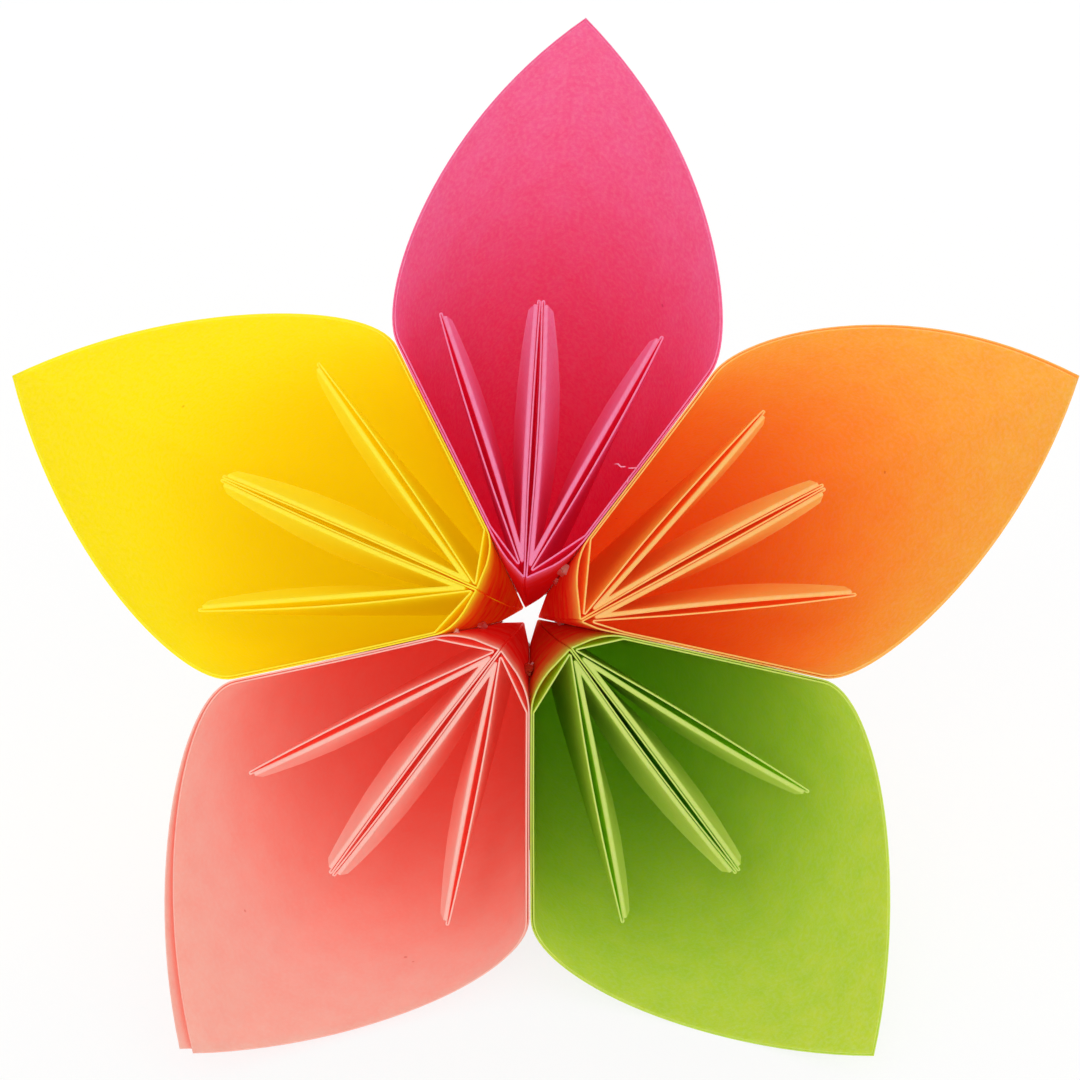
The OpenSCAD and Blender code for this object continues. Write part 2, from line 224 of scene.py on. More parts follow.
@dataclass
class Column:
    """One straight line of the folded sheet, from its apex to its raw edge."""

    point: Vector
    rim: float
    stretch: Stretch
    flap: Vector | None = None
    flap_lean: float = 0.0

    def mirrored(self) -> Column:
        """Returns the column of the petal's other half."""
        other = None if self.flap is None else flipped(self.flap)
        return Column(flipped(self.point), self.rim, self.stretch, other, self.flap_lean)


@dataclass
class PetalSection:
    """The folded section of one petal, drawn in the plane half a side above its apex."""

    form: PetalForm
    paper: Paper
    crown: Crown
    throat_n: int = 10
    throat_skip: int = 4
    joint_n: int = 6
    back_n: int = 30
    fold_n: int = 4
    fin_fold_n: int = 8
    leaf_at: tuple[float, ...] = (0.3, 0.42, 0.55, 0.68, 0.8, 0.89, 0.955, 0.985)
    coarse_n: tuple[int, int] = (5, 8)
    solve_n: int = 30
    tip_out: float = field(init=False)

    def __post_init__(self) -> None:
        """Solves how far the tip leans out, from the paper between the two seam creases."""
        low, high = self.length(self.crown.joint_end), 3 * self.length(self.crown.joint_end)
        for _ in range(self.solve_n):
            self.tip_out = (low + high) / 2
            used = sum(sum(self.paper_steps(self.wall(s, 1, *self.coarse_n, 1))) for s in (1, -1))
            if used > math.radians(self.paper.wall_deg):
                high = self.tip_out
            else:
                low = self.tip_out

    def length(self, share: float) -> float:
        """Returns a share of the sheet's side, given in per cent, in millimetres."""
        return share * self.paper.side / 100

    @property
    def half_width(self) -> float:
        """Half of the petal's angle round the axis, in degrees."""
        return self.crown.width_of(self.form.index) / 2

    def seam_point(self, side: int) -> Vector:
        """Returns the top of the seam that the fins stand on."""
        return Vector((self.length(side * self.form.seam_right), self.length(self.form.seam_out)))

    def tip_point(self, side: int) -> Vector:
        """Returns the petal's tip on the outer ply."""
        return self.tip_out * heading(side * self.form.tip_lean)

    def joint_point(self, out: float, spread: float) -> Vector:
        """Returns the point of the glued wall that lies so far from the flower's axis."""
        along = heading(self.half_width)
        inset = (self.paper.thickness + self.crown.glue_t) / 2
        return along * out - right_of(along) * spread * inset

    def throat(self, side: int, spread: float) -> Line:
        """Returns the curve from the seam to where the wall meets its neighbour."""
        e, c = self.seam_point(side), self.joint_point(self.length(self.crown.joint_start), spread)
        third = (c - e).length / 3
        start = math.degrees(math.atan2(c.x - e.x, c.y - e.y)) + self.crown.throat_bulge
        return [e, e + heading(start) * third, c - heading(self.half_width) * third, c]

    def back(self, side: int, spread: float) -> Line:
        """Returns the curve of the petal's back, from the shoulder to the tip."""
        tip = self.tip_point(side)
        shoulder = self.joint_point(self.length(self.crown.joint_end), spread)
        leave = heading(self.half_width) * self.length(self.crown.shoulder_reach)
        arrive = right_of(heading(self.crown.keel_angle)) * self.length(self.crown.back_reach)
        return [shoulder, shoulder + leave, tip + arrive, tip]

    def wall(self, side: int, spread: float, throat_n: int, back_n: int, joint_n: int) -> Line:
        """Returns the outer ply's half wall, from the seam to the tip."""
        throat, back = self.throat(side, spread), self.back(side, spread)
        joint = [throat[3].lerp(back[0], k / joint_n) for k in range(1, joint_n)]
        return (
            [bezier(throat, k / throat_n) for k in range(throat_n + 1)]
            + joint
            + [bezier(back, k / back_n) for k in range(back_n + 1)]
        )

    def paper_steps(self, line: Line) -> list[float]:
        """Returns the paper between neighbouring points of a line, in radians at the apex."""
        rays = [self.paper.ray(p) for p in line]
        return [a.angle(b) for a, b in zip(rays, rays[1:])]

    def wall_columns(self, line: Line, throat_n: int = 0) -> list[Column]:
        """Returns columns along a half wall whose last point is the sheet's corner.

        Args:
            line: The points of the half wall.
            throat_n: How many of the first points lie in the throat, at the flower's centre.

        Returns:
            The columns, in the order of the points.
        """
        left = math.radians(self.paper.wall_deg / 2) - sum(self.paper_steps(line))
        columns = []
        for k, (point, step) in enumerate(zip(line, [0.0] + self.paper_steps(line))):
            left += step
            stretch = Stretch.THROAT if k < throat_n else Stretch.WALL
            columns.append(Column(point, self.paper.rim_at(left), stretch))
        return columns

    def fin_end(self, seam: Vector, angle: float) -> Vector:
        """Returns the far end of a fin, whose upper edge stands square to the seam."""
        up = self.paper.ray(seam)
        level = Vector((*heading(angle), 0))
        along = (level - up * level.dot(up)).normalized()
        far = up + along * math.tan(math.radians(self.paper.fin_deg))
        return far.xy * self.paper.half / far.z

    def leaf(self, start: Vector, end: Vector, bow: float) -> Line:
        """Returns the points of a leaf, bowed to the right by bow in the middle."""
        side = right_of((end - start).normalized())
        return [start.lerp(end, x) + side * bow * 4 * x * (1 - x) for x in self.leaf_at]

    def fin_edge(self, centre: Vector, out: Vector, radius: float) -> Line:
        """Returns the soft fold at a fin's outer edge, from its left side round to its right."""
        turns = [math.pi * k / self.fin_fold_n for k in range(self.fin_fold_n + 1)]
        return [centre + radius * (out * math.sin(a) - right_of(out) * math.cos(a)) for a in turns]

    def sprung(self, line: Line, other: Line, spread: float) -> Line:
        """Returns a flap's half, which springs towards the other half below its fold."""
        if spread <= 1:
            return line
        give = [self.crown.flap_spring * (1 - x * x) / 2 for x in self.leaf_at]
        return [p.lerp(q, s) for p, q, s in zip(line, other, give)]

    def slant(self, point: Vector) -> float:
        """Returns how much wider a leaning wall is cut in the section plane."""
        return 1 + point.length_squared / self.paper.half**2

    def set_in(self, curve: Line, t: float, gap: float) -> Vector:
        """Returns a point of a curve, set in at right angles to it."""
        p = bezier(curve, t)
        return p - right_of(bezier_slope(curve, t).normalized()) * gap * self.slant(p)

    def short_of_tip(self) -> float:
        """Returns where on the back a shifted inner ply ends."""
        return 1 - abs(self.form.inner_shift) / (3 * self.crown.back_reach)

    def inner_tip(self, side: int, spread: float) -> Vector:
        """Returns the tip of the inner ply."""
        gap = self.paper.pitch * spread
        if self.form.inner_shift == 0:
            p = self.tip_point(side)
            lift = gap * self.slant(p) / math.cos(math.radians(self.crown.keel_angle))
            return p - Vector((0, lift))
        sense = int(math.copysign(1, self.form.inner_shift))
        inset = self.crown.shifted_tip_gap * gap
        p = self.set_in(self.back(sense, spread), self.short_of_tip(), inset)
        return p if sense * side > 0 else flipped(p)

    def inner_wall(self, side: int, spread: float) -> Line:
        """Returns the inner ply's half wall, from the joint to the tip."""
        gap = self.paper.pitch * spread
        back, tip = self.back(side, spread), self.inner_tip(side, spread)
        near = side * self.form.inner_shift > 0
        last = self.short_of_tip() if near else 1.0
        move = Vector((0, 0)) if near else tip - self.set_in(back, 1, gap)
        start = self.set_in(self.throat(side, spread), 1, gap)
        shoulder = self.set_in(back, 0, gap)
        line = [start.lerp(shoulder, k / self.joint_n) for k in range(self.joint_n)]
        for k in range(self.back_n):
            t = k / self.back_n
            line.append(self.set_in(back, t * last, gap) + move * t * t)
        return line + [tip]

    def half_section(self, side: int, spread: float) -> list[Column]:
        """Folds one half of the section.

        Args:
            side: 1 for the right half and -1 for the left, which is drawn as a right half.
            spread: How much the pitch of the plies is widened, 1 at the rim.

        Returns:
            The columns, from the outer ply's tip in to the seam, round the fins and out again.
        """
        paper, crown = self.paper, self.crown
        g = paper.pitch * spread
        fr = g / 2
        ff = max(paper.fin_fold_r, fr)
        lift = 2 * paper.flap_fold_r * spread
        e = self.seam_point(side)
        up = paper.ray(e)
        left_fin, mid_fin, right_fin = self.form.fin_angles
        mid_end = self.fin_end(e, side * mid_fin)
        side_end = self.fin_end(e, right_fin if side > 0 else -left_fin)
        mid_dir, side_dir = (mid_end - e).normalized(), (side_end - e).normalized()
        mid_n, side_n = right_of(mid_dir), right_of(side_dir)
        mid_fold = mid_end + mid_n * (g / 2 + ff) - mid_dir * ff
        side_fold = side_end - side_dir * ff
        outer = self.wall(side, spread, self.throat_n, self.back_n, self.joint_n)
        leaves = (mid_fold + mid_n * ff, side_fold - side_n * ff)
        lifted = (leaves[0] + mid_n * lift, leaves[1] - side_n * lift)
        kite = crossing(e + mid_n * g * 1.5, leaves[0], e - side_n * g / 2, leaves[1])
        flap = crossing(
            e + mid_n * (g * 1.5 + lift), lifted[0], e - side_n * (g / 2 + lift), lifted[1]
        )
        inner = self.inner_wall(side, spread)
        inner_start = e - right_of((inner[0] - e).normalized()) * g
        inner_edge = side_fold + side_n * ff
        inner_seam = crossing(e + side_n * g / 2, inner_edge, inner_start, inner[0])
        kite_legs = self.kite_legs(kite, leaves)
        flap_legs = self.kite_legs(flap, lifted)
        flap_line = self.kite_line(
            flap,
            self.sprung(flap_legs[0], flap_legs[1], spread),
            self.sprung(flap_legs[1], flap_legs[0], spread),
            flap_legs,
            fr,
        )
        kite_line = self.kite_line(kite, kite_legs[0], kite_legs[1], kite_legs, fr)
        inner_leaf = self.leaf(inner_seam, inner_edge, crown.leaf_bow)

        def fin_columns(points: Line, stretch: Stretch) -> list[Column]:
            """Returns columns whose raw edge lies square to the seam."""
            return [Column(p, paper.rim_at(up.angle(paper.ray(p))), stretch) for p in points]

        wall = self.wall_columns(outer, self.throat_n + 1)[self.throat_skip :]
        wall.reverse()
        corner = e + mid_n * g / 2
        mid_leaf = self.leaf(corner, mid_fold - mid_n * ff, crown.half_bow)
        seam = round_bend(outer[self.throat_skip], corner, mid_leaf[0], fr, self.fold_n)
        columns = wall + fin_columns(seam, Stretch.THROAT) + fin_columns(mid_leaf, Stretch.LEAF)
        columns += fin_columns(self.fin_edge(mid_fold, mid_dir, ff), Stretch.FIN_EDGE)
        kite_columns = fin_columns(kite_line, Stretch.KITE)
        legs_n = len(self.leaf_at)
        for k, (column, point) in enumerate(zip(kite_columns, flap_line)):
            column.flap = point
            column.flap_lean = up.angle(paper.ray(point))
            if legs_n <= k <= legs_n + self.fold_n:
                column.stretch = Stretch.KITE_FOLD
        columns += kite_columns
        columns += fin_columns(self.fin_edge(side_fold, side_dir, ff), Stretch.FIN_EDGE)
        columns += fin_columns(list(reversed(inner_leaf)), Stretch.LEAF)
        inner_bend = round_bend(inner_leaf[0], inner_seam, inner[0], fr, self.fold_n)
        columns += fin_columns(inner_bend, Stretch.SEAM)
        return columns + self.wall_columns(inner)

    def kite_legs(
        self, corner: Vector, ends: tuple[Vector, Vector]
    ) -> tuple[Line, Line]:
        """Returns the two leaves of a kite, from its crease out to the fins' edges."""
        bows = (self.crown.half_bow, -self.crown.leaf_bow / 2)
        return self.leaf(corner, ends[0], bows[0]), self.leaf(corner, ends[1], bows[1])

    def kite_line(
        self,
        corner: Vector,
        right: Line,
        left: Line,
        legs: tuple[Line, Line],
        radius: float,
    ) -> Line:
        """Returns the line of a kite, down one leaf, round its crease and up the other."""
        crease = round_bend(legs[0][0], corner, legs[1][0], radius, self.fold_n)
        return list(reversed(right)) + crease + left

    def columns(self, spread: float) -> list[Column]:
        """Returns the section as a closed loop of columns, from the outer tip to the right."""
        right, left = self.half_section(1, spread), self.half_section(-1, spread)
        return right + [c.mirrored() for c in reversed(left[1:-1])]


@dataclass(frozen=True)
class FlowerFrame:
    """Where the flower's axis stands, and the buckles that run through all its plies."""

    foot: Vector
    axis: Vector
    crown: Crown
    buckle: float = 0.16
    buckle_wave: float = 15.0

    def placed(self, form: PetalForm, bundle_r: float, point: Vector) -> Vector:
        """Returns a point of a petal, in millimetres about the flower's upright axis."""
        a = math.radians(self.crown.middle_of(form.index))
        below = max(0.0, 1 - point.length / bundle_r)
        out = point.y + self.crown.apex_r * below
        right = point.x + form.apex_right * below
        return Vector(
            (
                right * math.cos(a) + out * math.sin(a),
                out * math.cos(a) - right * math.sin(a),
                point.z,
            )
        )

    def buckled(self, point: Vector, share: float) -> Vector:
        """Returns a point moved with the slow buckles of hand-folded paper."""
        return point + noise.noise_vector(point / self.buckle_wave) * self.buckle * share

    def lying(self, point: Vector) -> Vector:
        """Returns a point about the upright axis as it lies, in metres."""
        across = Vector((1, 0, 0))
        up = self.axis.cross(across)
        return self.foot + (across * point.x + up * point.y + self.axis * point.z) * MM


@dataclass
class NodeBuilder:
    """Adds shader nodes with their settings and links."""

    tree: bpy.types.NodeTree

    def add(self, kind: str, links: dict | None = None, **settings: object) -> bpy.types.Node:
        """Adds a node.

        Args:
            kind: The node's type name.
            links: Input name or number to a socket to link, or to a plain value.
            **settings: Attributes of the node.

        Returns:
            The new node.
        """
        node = self.tree.nodes.new(kind)
        for name, value in settings.items():
            setattr(node, name, value)
        for name, value in (links or {}).items():
            if isinstance(value, Socket):
                self.tree.links.new(value, node.inputs[name])
            else:
                node.inputs[name].default_value = value
        return node


def blank_material(name: str) -> tuple[bpy.types.Material, NodeBuilder]:
    """Returns a new material without nodes, and the builder of its nodes."""
    material = bpy.data.materials.new(name)
    material.use_nodes = True
    material.node_tree.nodes.clear()
    return material, NodeBuilder(material.node_tree)


def linked(name: str, data: bpy.types.ID) -> bpy.types.Object:
    """Returns a new object of the scene for a mesh, a lamp or a camera."""
    made = bpy.data.objects.new(name, data)
    bpy.context.scene.collection.objects.link(made)
    return made


def object_of(bm: bmesh.types.BMesh, name: str) -> bpy.types.Object:
    """Returns a new object of the scene that takes over a mesh in the making."""
    mesh = bpy.data.meshes.new(name)
    bm.to_mesh(mesh)
    bm.free()
    return linked(name, mesh)


def extruded(bm: bmesh.types.BMesh, edges: list) -> tuple[list, list]:
    """Extrudes edges in place, and returns the new vertices and the new edges between them."""
    geometry = bmesh.ops.extrude_edge_only(bm, edges=edges)["geom"]
    verts = [g for g in geometry if isinstance(g, bmesh.types.BMVert)]
    fresh = set(verts)
    sides = [g for g in geometry if isinstance(g, bmesh.types.BMEdge)]
    return verts, [e for e in sides if fresh.issuperset(e.verts)]


def linear(colour: str) -> tuple[float, float, float, float]:
    """Turns an sRGB hex colour to linear values.

    Args:
        colour: A colour such as #ffcc00.

    Returns:
        Red, green, blue and a full alpha.
    """
    parts = [int(colour[k : k + 2], 16) / 255 for k in (1, 3, 5)]
    values = [c / 12.92 if c <= 0.04045 else ((c + 0.055) / 1.055) ** 2.4 for c in parts]
    return (*values, 1.0)


@dataclass(frozen=True)
class PaperFinish:
    """Dyed wood-free memo paper, calendered: matte, faintly cloudy, with stray dark fibres."""

    slot: str
    dye: str
    pale: str
    glow: str
    deep: str
    fibre: str
    # Strength of a fixed emission: painted glow that lights the shaded hollows without a lamp, and the
    # dyes' fluorescence.
    fluorescence_and_painted_glow: float
    sheet_mm: float = 90.0
    cloud_mm: float = 2.2
    # The fibres are too fine to show, so their grain is drawn as coarse as it needs to show.
    grain_mm: float = 0.34
    speck_mm: float = 3.4
    roughness: float = 0.82
    specular: float = 0.25
    translucency: float = 0.28
    cloud_range: Range = (0.3, 0.7)
    cloud_deep: float = 0.45
    grain_range: Range = (0.4, 0.7)
    grain_pale: float = 0.26
    bump_mm: float = 0.02
    bump_strength: float = 0.25
    speck_range: Range = (0.05, 0.025)
    speck_dark: float = 0.45
    speck_left_out: float = 0.72
    # How pale the crease attribute makes the sheet: wear at the folds, and painted highlights on the raw
    # edges, the folds and the flaps' upturned faces.
    pale_wear_and_highlight: float = 0.7
    # Painted shade: a deep red laid on the throat walls, deeper further below the rim and mottled by the
    # cloud. It also tints the light through the sheet and its glow.
    painted_shade_red: str = "#ff2c1e"
    painted_shade_mottle_range: Range = (0.3, 0.6)
    painted_shade_mottle_least: float = 0.7

    def material(self) -> bpy.types.Material:
        """Returns the paper's material, whose patterns follow the flat sheet."""
        material, make = blank_material(self.slot)
        flat = make.add("ShaderNodeUVMap", uv_map="sheet").outputs["UV"]
        scale = (self.sheet_mm, self.sheet_mm, 1)
        place = make.add("ShaderNodeMapping", {"Vector": flat, "Scale": scale}).outputs["Vector"]
        cloud = make.add(
            "ShaderNodeTexNoise",
            {"Vector": place, "Scale": 1 / self.cloud_mm, "Detail": 3.0, "Roughness": 0.6},
        ).outputs["Fac"]
        grain = make.add(
            "ShaderNodeTexNoise",
            {"Vector": place, "Scale": 1 / self.grain_mm, "Detail": 2.0, "Roughness": 0.7},
        ).outputs["Fac"]
        cells = make.add(
            "ShaderNodeTexVoronoi", {"Vector": place, "Scale": 1 / self.speck_mm}, feature="F1"
        ).outputs
        clouds, grains, specks, painted_shade_mottle = (
            make.add(
                "ShaderNodeMapRange",
                {"Value": value, "From Min": low, "From Max": high, "To Min": least, "To Max": most},
            ).outputs["Result"]
            for value, (low, high), least, most in (
                (cloud, self.cloud_range, 0.0, self.cloud_deep),
                (grain, self.grain_range, 0.0, self.grain_pale),
                (cells["Distance"], self.speck_range, 0.0, self.speck_dark),
                (cloud, self.painted_shade_mottle_range, self.painted_shade_mottle_least, 1.0),
            )
        )
        draw = make.add("ShaderNodeSeparateColor", {"Color": cells["Color"]}).outputs["Red"]
        chosen = make.add(
            "ShaderNodeMath", {0: draw, 1: self.speck_left_out}, operation="GREATER_THAN"
        ).outputs["Value"]
        # Attributes of the folded sheet: the throat's painted shade, and the crease paleness of wear and
        # painted highlight.
        painted_shade, crease = (
            make.add("ShaderNodeAttribute", attribute_name=name, attribute_type="GEOMETRY").outputs["Fac"]
            for name in ("painted_shade", "crease")
        )
        flecks, painted_shade_share, wear_and_highlight = (
            make.add("ShaderNodeMath", {0: value, 1: share}, operation="MULTIPLY").outputs["Value"]
            for value, share in ((specks, chosen), (painted_shade, painted_shade_mottle), (crease, self.pale_wear_and_highlight))
        )
        face = linear(self.dye)
        for share, colour in (
            (clouds, self.deep),
            (grains, self.pale),
            (flecks, self.fibre),
            (painted_shade_share, self.painted_shade_red),
            (wear_and_highlight, self.pale),
        ):
            links = {"Factor": share, "A": face, "B": linear(colour)}
            face = make.add("ShaderNodeMix", links, data_type="RGBA").outputs["Result"]
        links = {"Factor": painted_shade_share, "A": linear(self.glow), "B": linear(self.painted_shade_red)}
        inside = make.add("ShaderNodeMix", links, data_type="RGBA").outputs["Result"]
        shader = self.sheet(make, face, inside, grain)
        make.add("ShaderNodeOutputMaterial", {"Surface": shader})
        return material

    def sheet(
        self,
        make: NodeBuilder,
        face: Socket,
        inside: Socket,
        grain: Socket,
    ) -> Socket:
        """Returns the shader of a thin sheet, which light crosses in one step.

        Args:
            make: The builder of the material's nodes.
            face: The colour of the sheet's face.
            inside: The colour of the light that comes through.
            grain: The height of the felt side.

        Returns:
            The shader, which is clear on the far side of the sheet's thickness.
        """
        bump = make.add(
            "ShaderNodeBump",
            {"Height": grain, "Strength": self.bump_strength, "Distance": self.bump_mm * MM},
        )
        front = make.add(
            "ShaderNodeBsdfPrincipled",
            {
                "Base Color": face,
                "Normal": bump.outputs["Normal"],
                "Roughness": self.roughness,
                "Specular IOR Level": self.specular,
                # Fixed emission in the colour of the light through the sheet: painted glow, with the
                # dyes' fluorescence.
                "Emission Color": inside,
                "Emission Strength": self.fluorescence_and_painted_glow,
            },
        ).outputs["BSDF"]
        through = make.add("ShaderNodeBsdfTranslucent", {"Color": inside}).outputs["BSDF"]
        both = make.add("ShaderNodeMixShader", {0: self.translucency, 1: front, 2: through})
        far = make.add("ShaderNodeNewGeometry").outputs["Backfacing"]
        clear = make.add("ShaderNodeBsdfTransparent").outputs["BSDF"]
        once = make.add("ShaderNodeMixShader", {0: far, 1: both.outputs["Shader"], 2: clear})
        return once.outputs["Shader"]


@dataclass(frozen=True)
class Spot:
    """Where a point of the sheet is folded to, where it lay flat, and what it carries."""

    point: Vector
    flat: Vector
    # Paleness of wear and painted highlight.
    crease: float
    weight: float = 1.0
    # Painted shade of the throat walls.
    painted_shade: float = 0.0


@dataclass
class PaperPetal:
    """One petal: a square sheet, spun flat from its middle and then folded."""

    form: PetalForm
    finish: PaperFinish
    paper: Paper
    frame: FlowerFrame
    bundle_rows: tuple[float, ...] = (0.0, 0.2, 0.42, 0.7)
    wall_rows: tuple[float, ...] = (0.0, 0.14, 0.28, 0.42, 0.56, 0.7, 0.83, 0.94)
    flap_rows: tuple[float, ...] = (0.0, 0.012, 0.25, 0.5, 0.75, 0.994)
    flap_fold_n: int = 5
    edge_mm: float = 0.05
    # Paleness of the raw edges is a painted highlight. At the folds it is wear with a painted highlight.
    # On the flaps' faces it is painted light on the upturned face and the reverse side's tone.
    edge_painted_highlight: float = 0.22
    fold_wear_and_highlight: float = 0.45
    flap_light_and_reverse_tone: float = 0.2
    # Painted shade on the throat walls: it deepens over so many millimetres below the rim, up to this
    # share.
    painted_shade_mm: float = 7.0
    painted_shade_most: float = 0.95
    thinnest: float = 0.06
    rim_hold: int = 6

    def build(self) -> bpy.types.Object:
        """Returns the finished petal, in place."""
        section = PetalSection(self.form, self.paper, self.frame.crown)
        top = section.columns(1)
        low = section.columns(self.paper.bundle_spread)
        flap_low = section.columns(1 / self.paper.flap_low)
        bm = bmesh.new()
        column_of = bm.verts.layers.int.new("column")
        row_of = bm.verts.layers.int.new("row")
        self.spin_sheet(bm, len(top), column_of, row_of)
        self.extrude_flaps(bm, top, column_of, row_of)
        spots = self.fold(top, low, flap_low)
        self.shape(bm, spots, column_of, row_of)
        bmesh.ops.recalc_face_normals(bm, faces=bm.faces)
        return self.dress(bm)

    @property
    def last_row(self) -> int:
        """Number of the row at the raw edge of a wall, or at the fold of a flap."""
        return len(self.bundle_rows) + len(self.wall_rows) + 1

    def spin_sheet(
        self, bm: bmesh.types.BMesh, count: int, column_of: object, row_of: object
    ) -> None:
        """Spins one ray of the sheet round its middle.

        Args:
            bm: The mesh to fill.
            count: Number of columns.
            column_of: Layer that takes each vertex's column.
            row_of: Layer that takes each vertex's row.
        """
        ray = [bm.verts.new((k + 1, 0, 0)) for k in range(self.last_row + 1)]
        edges = [bm.edges.new(pair) for pair in zip(ray, ray[1:])]
        bmesh.ops.spin(
            bm,
            geom=ray + edges,
            cent=(0, 0, 0),
            axis=(0, 0, 1),
            angle=math.tau,
            steps=count,
            use_merge=True,
        )
        for vert in bm.verts:
            vert[column_of] = round(math.atan2(vert.co.y, vert.co.x) / math.tau * count) % count
            vert[row_of] = round(vert.co.xy.length) - 1

    def extrude_flaps(
        self, bm: bmesh.types.BMesh, columns: list[Column], column_of: object, row_of: object
    ) -> None:
        """Extrudes the corner flaps from the rim of the kites, one row at a time."""
        edges = [
            e
            for e in bm.edges
            if e.is_boundary
            and all(v[row_of] == self.last_row and columns[v[column_of]].flap for v in e.verts)
        ]
        for row in range(self.flap_fold_n + len(self.flap_rows)):
            fresh, edges = extruded(bm, edges)
            for vert in fresh:
                vert[row_of] = self.last_row + 1 + row

    def fold(
        self, top: list[Column], low: list[Column], flap_low: list[Column]
    ) -> dict[tuple[int, int], Spot]:
        """Folds every column of the sheet.

        Args:
            top: The section at the rim.
            low: The section where the plies start to thin out.
            flap_low: The section at the flaps' lower edge.

        Returns:
            Column and row to the folded spot.
        """
        ray, turn, spots = self.paper.ray, 0.0, {}
        turns = []
        for k, column in enumerate(top):
            turn += ray(top[k - 1].point).angle(ray(column.point)) if k else 0.0
            turns.append(turn)
        closing = ray(top[-1].point).angle(ray(top[0].point))
        turns = [t * math.tau / (turn + closing) for t in turns]
        creases = [k for k, c in enumerate(top) if c.stretch is Stretch.KITE_FOLD]
        half = len(creases) // 2
        kite_turn = {0: turns[creases[half // 2]], 1: turns[creases[half + half // 2]]}
        for k, (a, b) in enumerate(zip(top, low)):
            start, bundle, rim = (
                ray(b.point) * self.paper.apex_hole_r,
                ray(b.point) * self.paper.bundle_r,
                ray(a.point) * a.rim,
            )
            ways = [(start.lerp(bundle, t), t) for t in self.bundle_rows]
            ways += [(bundle.lerp(rim, t), 1.0) for t in self.wall_rows]
            ways += [(rim.lerp(bundle, self.edge_mm / (rim - bundle).length), 1.0), (rim, 1.0)]
            # Folds and raw edges are painted paler: a painted highlight, with wear at the folds.
            fold = self.fold_wear_and_highlight if a.stretch is Stretch.FIN_EDGE else 0.0
            flat = Vector((math.cos(turns[k]), math.sin(turns[k])))
            centre = a.stretch is Stretch.THROAT
            edge = self.edge_painted_highlight if centre or a.stretch is Stretch.WALL else self.fold_wear_and_highlight
            for row, (point, weight) in enumerate(ways):
                crease = edge if row == self.last_row else fold
                # Painted shade: the throat walls turn deeper red the further they lie below the rim.
                depth = min(1.0, (rim - point).length / self.painted_shade_mm)
                painted_shade = self.painted_shade_most * depth if centre else 0.0
                held = max(weight, self.thinnest)
                spots[k, row] = Spot(point, flat * point.length, crease, held, painted_shade)
            if a.flap is not None:
                kite = kite_turn[0 if k < len(top) / 2 else 1]
                self.fold_flap(spots, k, a, flap_low[k], turns[k] - kite, kite, rim)
        return spots

    def fold_flap(
        self,
        spots: dict[tuple[int, int], Spot],
        k: int,
        top: Column,
        low: Column,
        side: float,
        kite: float,
        rim: Vector,
    ) -> None:
        """Folds one column of a corner flap, over its fold and down to its raw edge."""
        paper = self.paper
        top_ray, low_ray = paper.ray(top.flap), paper.ray(low.flap)
        upper = top_ray * paper.rim_at(top.flap_lean)
        lean = low.flap_lean
        lower = low_ray * paper.half * paper.flap_low / (math.cos(lean) - math.sin(lean))
        centre, arm = (rim + upper) / 2, (rim - upper) / 2
        points = []
        for step in range(1, self.flap_fold_n + 1):
            q = math.pi * step / (self.flap_fold_n + 1)
            over = centre + arm * math.cos(q) + top_ray * paper.flap_fold_r * math.sin(q)
            points.append((over, self.fold_wear_and_highlight))
        # The flap's face is painted paler: painted light on the upturned face, and the reverse side's
        # tone.
        for t in self.flap_rows:
            points.append((upper.lerp(lower, t), self.flap_light_and_reverse_tone))
        points[-1] = (lower, self.fold_wear_and_highlight)
        along = Vector((math.cos(kite), math.sin(kite)))
        across = Vector((-along.y, along.x)) * math.copysign(1, side)
        for row, (point, crease) in enumerate(points):
            part = min(max((row - self.flap_fold_n) / len(self.flap_rows), 0), 1)
            turn = top.flap_lean + (low.flap_lean - top.flap_lean) * part
            near, aside = point.length * math.cos(turn), point.length * math.sin(turn)
            flat = along * (paper.side - near) + across * aside
            spots[k, self.last_row + 1 + row] = Spot(point, flat, crease)

    def shape(self, bm: bmesh.types.BMesh, spots: dict, column_of: object, row_of: object) -> None:
        """Moves every vertex to its folded place, and keeps where it lay on the flat sheet."""
        flat_map = bm.loops.layers.uv.new("sheet")
        crease = bm.verts.layers.float.new("crease")
        painted_shade = bm.verts.layers.float.new("painted_shade")
        weights = bm.verts.layers.deform.verify()
        index, reach = self.form.index, self.paper.half * math.sqrt(2)
        for face in bm.faces:
            face.smooth = True
            for loop in face.loops:
                flat = spots[loop.vert[column_of], loop.vert[row_of]].flat
                loop[flat_map].uv = flat / self.paper.side + Vector((0.5 + index, 0.5))
        for vert in bm.verts:
            spot = spots[vert[column_of], vert[row_of]]
            out = spot.point.length
            free = max(0.0, 1 - (out / reach) ** self.rim_hold)
            share = free * min(1.0, out / self.paper.half)
            placed = self.frame.placed(self.form, self.paper.bundle_r, spot.point)
            vert.co = self.frame.lying(self.frame.buckled(placed, share))
            vert[crease] = spot.crease
            vert[painted_shade] = spot.painted_shade
            vert[weights][0] = spot.weight
        for edge in bm.edges:
            edge.smooth = not edge.is_boundary

    def dress(self, bm: bmesh.types.BMesh) -> bpy.types.Object:
        """Returns the petal's object, with its thickness, material, body and node."""
        petal = object_of(bm, self.form.name + "_sheet")
        petal.vertex_groups.new(name="stock")
        stock = petal.modifiers.new("stock", "SOLIDIFY")
        stock.thickness = self.paper.thickness * MM
        stock.offset = 0
        stock.use_even_offset = True
        stock.vertex_group = "stock"
        petal.data.materials.append(self.finish.material())
        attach(petal, "root")
        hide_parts(self.form.name)
        return petal


